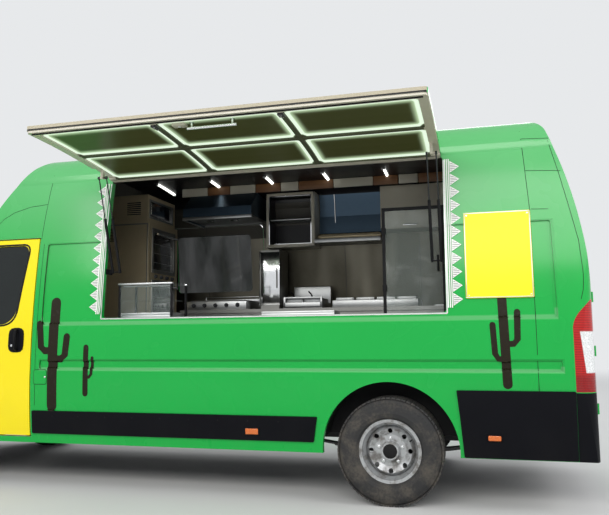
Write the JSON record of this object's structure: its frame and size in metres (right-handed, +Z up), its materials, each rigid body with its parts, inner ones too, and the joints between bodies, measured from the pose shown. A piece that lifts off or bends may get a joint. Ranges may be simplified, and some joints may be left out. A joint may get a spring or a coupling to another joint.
{
  "type": "food truck on a long high-roof van",
  "caption": "High-roof van made into a food truck, with a top-hung serving hatch on gas struts, kitchen inside, opening doors and bonnet, steered front wheels and rolling wheels.",
  "frame": {"origin": "centre of the whole part's box in plan, on the ground", "axes": "+X from nose to tail, +Z up, serving hatch on the -Y side"},
  "size_m": [6.3678, 3.2664, 2.76],
  "materials": {
    "black_plastic": "grained black plastic",
    "board_yellow": "printed board",
    "body_green": "gloss green paint",
    "cast": "cast",
    "cream": "cream paint",
    "door_yellow": "gloss yellow paint",
    "frame_steel": "black chassis paint",
    "glass_clear": "clear glass",
    "glass_dark": "tinted glass",
    "lamp_clear": "clear lamp lens",
    "lamp_red": "ribbed lamp lens",
    "led": "lit diffuser",
    "rim": "silver wheel paint",
    "rod": "polished rod",
    "seat": "woven seat cloth",
    "steel": "brushed stainless steel",
    "strut_black": "black",
    "trim": "moulded trim",
    "tyre": "rubber"
  },
  "bodies": {
    "root": {"floor_pan": "steel", "chassis_frame": "frame_steel", "cab_shell": "body_green", "side_left": "body_green", "side_right": "body_green", "sliding_door": "body_green", "kitchen_window": "glass_dark", "roof": "body_green", "rear_frame": "body_green", "front_bumper": "black_plastic", "grille": "black_plastic", "headlamps": "lamp_clear", "windscreen": "glass_dark", "tail_lamps": "lamp_red", "rear_bumper": "black_plastic", "side_mouldings": "black_plastic", "menu_board": "board_yellow", "wheel_arch_liners": "black_plastic", "front_axle": "frame_steel", "rear_axle": "frame_steel", "engine_block": "cast", "exhaust": "frame_steel", "bulkhead": "cream", "dashboard": "trim", "steering_wheel": "trim", "cab_seats": "seat", "serving_counter": "cream", "back_counter": "cream", "oven_tower": "steel", "extractor_hood": "steel", "wall_units": "cream", "ceiling_lamps": "led", "screen_frame": "frame_steel", "screen_glass": "glass_clear"},
    "door_left": {"cab_door_left": "door_yellow", "door_glass_left": "glass_dark", "mirror_left": "black_plastic"},
    "door_right": {"cab_door_right": "door_yellow", "door_glass_right": "glass_dark", "mirror_right": "black_plastic"},
    "rear_door_l": {"rear_door_left": "body_green", "rear_glass_left": "glass_dark"},
    "rear_door_r": {"rear_door_right": "body_green", "rear_glass_right": "glass_dark"},
    "bonnet_body": {"bonnet": "body_green"},
    "hatch": {"hatch_lid": "body_green", "hatch_frame": "steel", "hatch_panels": "led"},
    "strut_cylinder": {"strut_cylinders": "strut_black"},
    "strut_rod": {"strut_rods": "rod"},
    "knuckle_l": {"knuckle_left": "cast"},
    "knuckle_r": {"knuckle_right": "cast"},
    "wheel_fl": {"tyre_front_left": "tyre", "rim_front_left": "rim"},
    "wheel_fr": {"tyre_front_right": "tyre", "rim_front_right": "rim"},
    "wheel_rl": {"tyre_rear_left": "tyre", "rim_rear_left": "rim"},
    "wheel_rr": {"tyre_rear_right": "tyre", "rim_rear_right": "rim"}
  },
  "joints": [
    {"name": "cab_door_left_hinge", "type": "hinge", "parent": "root", "child": "door_left", "pos_m": [-2.05805, -0.64983, 1.145], "axis": [0, 0, -1], "range_deg": [0, 68]},
    {"name": "cab_door_right_hinge", "type": "hinge", "parent": "root", "child": "door_right", "pos_m": [-2.05805, 1.40817, 1.145], "axis": [0, 0, 1], "range_deg": [0, 68]},
    {"name": "rear_door_left_hinge", "type": "hinge", "parent": "root", "child": "rear_door_l", "pos_m": [3.17394, -0.51683, 1.06], "axis": [0, 0, -1], "range_deg": [0, 175]},
    {"name": "rear_door_right_hinge", "type": "hinge", "parent": "root", "child": "rear_door_r", "pos_m": [3.17394, 1.27517, 1.06], "axis": [0, 0, 1], "range_deg": [0, 175]},
    {"name": "bonnet_hinge", "type": "hinge", "parent": "root", "child": "bonnet_body", "pos_m": [-2.54806, 0.37917, 1.296], "axis": [0, 1, 0], "range_deg": [0, 55]},
    {"name": "hatch_hinge", "type": "hinge", "parent": "root", "child": "hatch", "pos_m": [0.87194, -0.47783, 2.491], "axis": [1, 0, 0], "range_deg": [0, 88]},
    {"name": "strut_swing", "type": "hinge", "parent": "root", "child": "strut_cylinder", "pos_m": [0.87194, -0.51583, 1.705], "axis": [1, 0, 0], "range_deg": [-27.61, 0]},
    {"name": "strut_slide", "type": "slide", "parent": "strut_cylinder", "child": "strut_rod", "axis": [0, -0.3081, 0.9514], "range_m": [-0.25065, 0]},
    {"name": "steer_left", "type": "hinge", "parent": "root", "child": "knuckle_l", "pos_m": [-2.23506, -0.43283, 0.372], "axis": [0, 0, 1], "range_deg": [-35, 35]},
    {"name": "steer_right", "type": "hinge", "parent": "root", "child": "knuckle_r", "pos_m": [-2.23506, 1.19117, 0.372], "axis": [0, 0, 1], "range_deg": [-35, 35]},
    {"name": "spin_front_left", "type": "hinge", "parent": "knuckle_l", "child": "wheel_fl", "pos_m": [-2.23506, -0.52383, 0.372], "axis": [0, 1, 0], "continuous": true},
    {"name": "spin_front_right", "type": "hinge", "parent": "knuckle_r", "child": "wheel_fr", "pos_m": [-2.23506, 1.28217, 0.372], "axis": [0, 1, 0], "continuous": true},
    {"name": "spin_rear_left", "type": "hinge", "parent": "root", "child": "wheel_rl", "pos_m": [1.79994, -0.52383, 0.372], "axis": [0, 1, 0], "continuous": true},
    {"name": "spin_rear_right", "type": "hinge", "parent": "root", "child": "wheel_rr", "pos_m": [1.79994, 1.28217, 0.372], "axis": [0, 1, 0], "continuous": true}
  ],
  "couplings": [
    {"joint": "strut_swing", "follows": "hatch_hinge", "ratio": -0.31142},
    {"joint": "strut_slide", "follows": "hatch_hinge", "m_per_rad": -0.16254},
    {"joint": "steer_right", "follows": "steer_left", "ratio": 1}
  ]
}
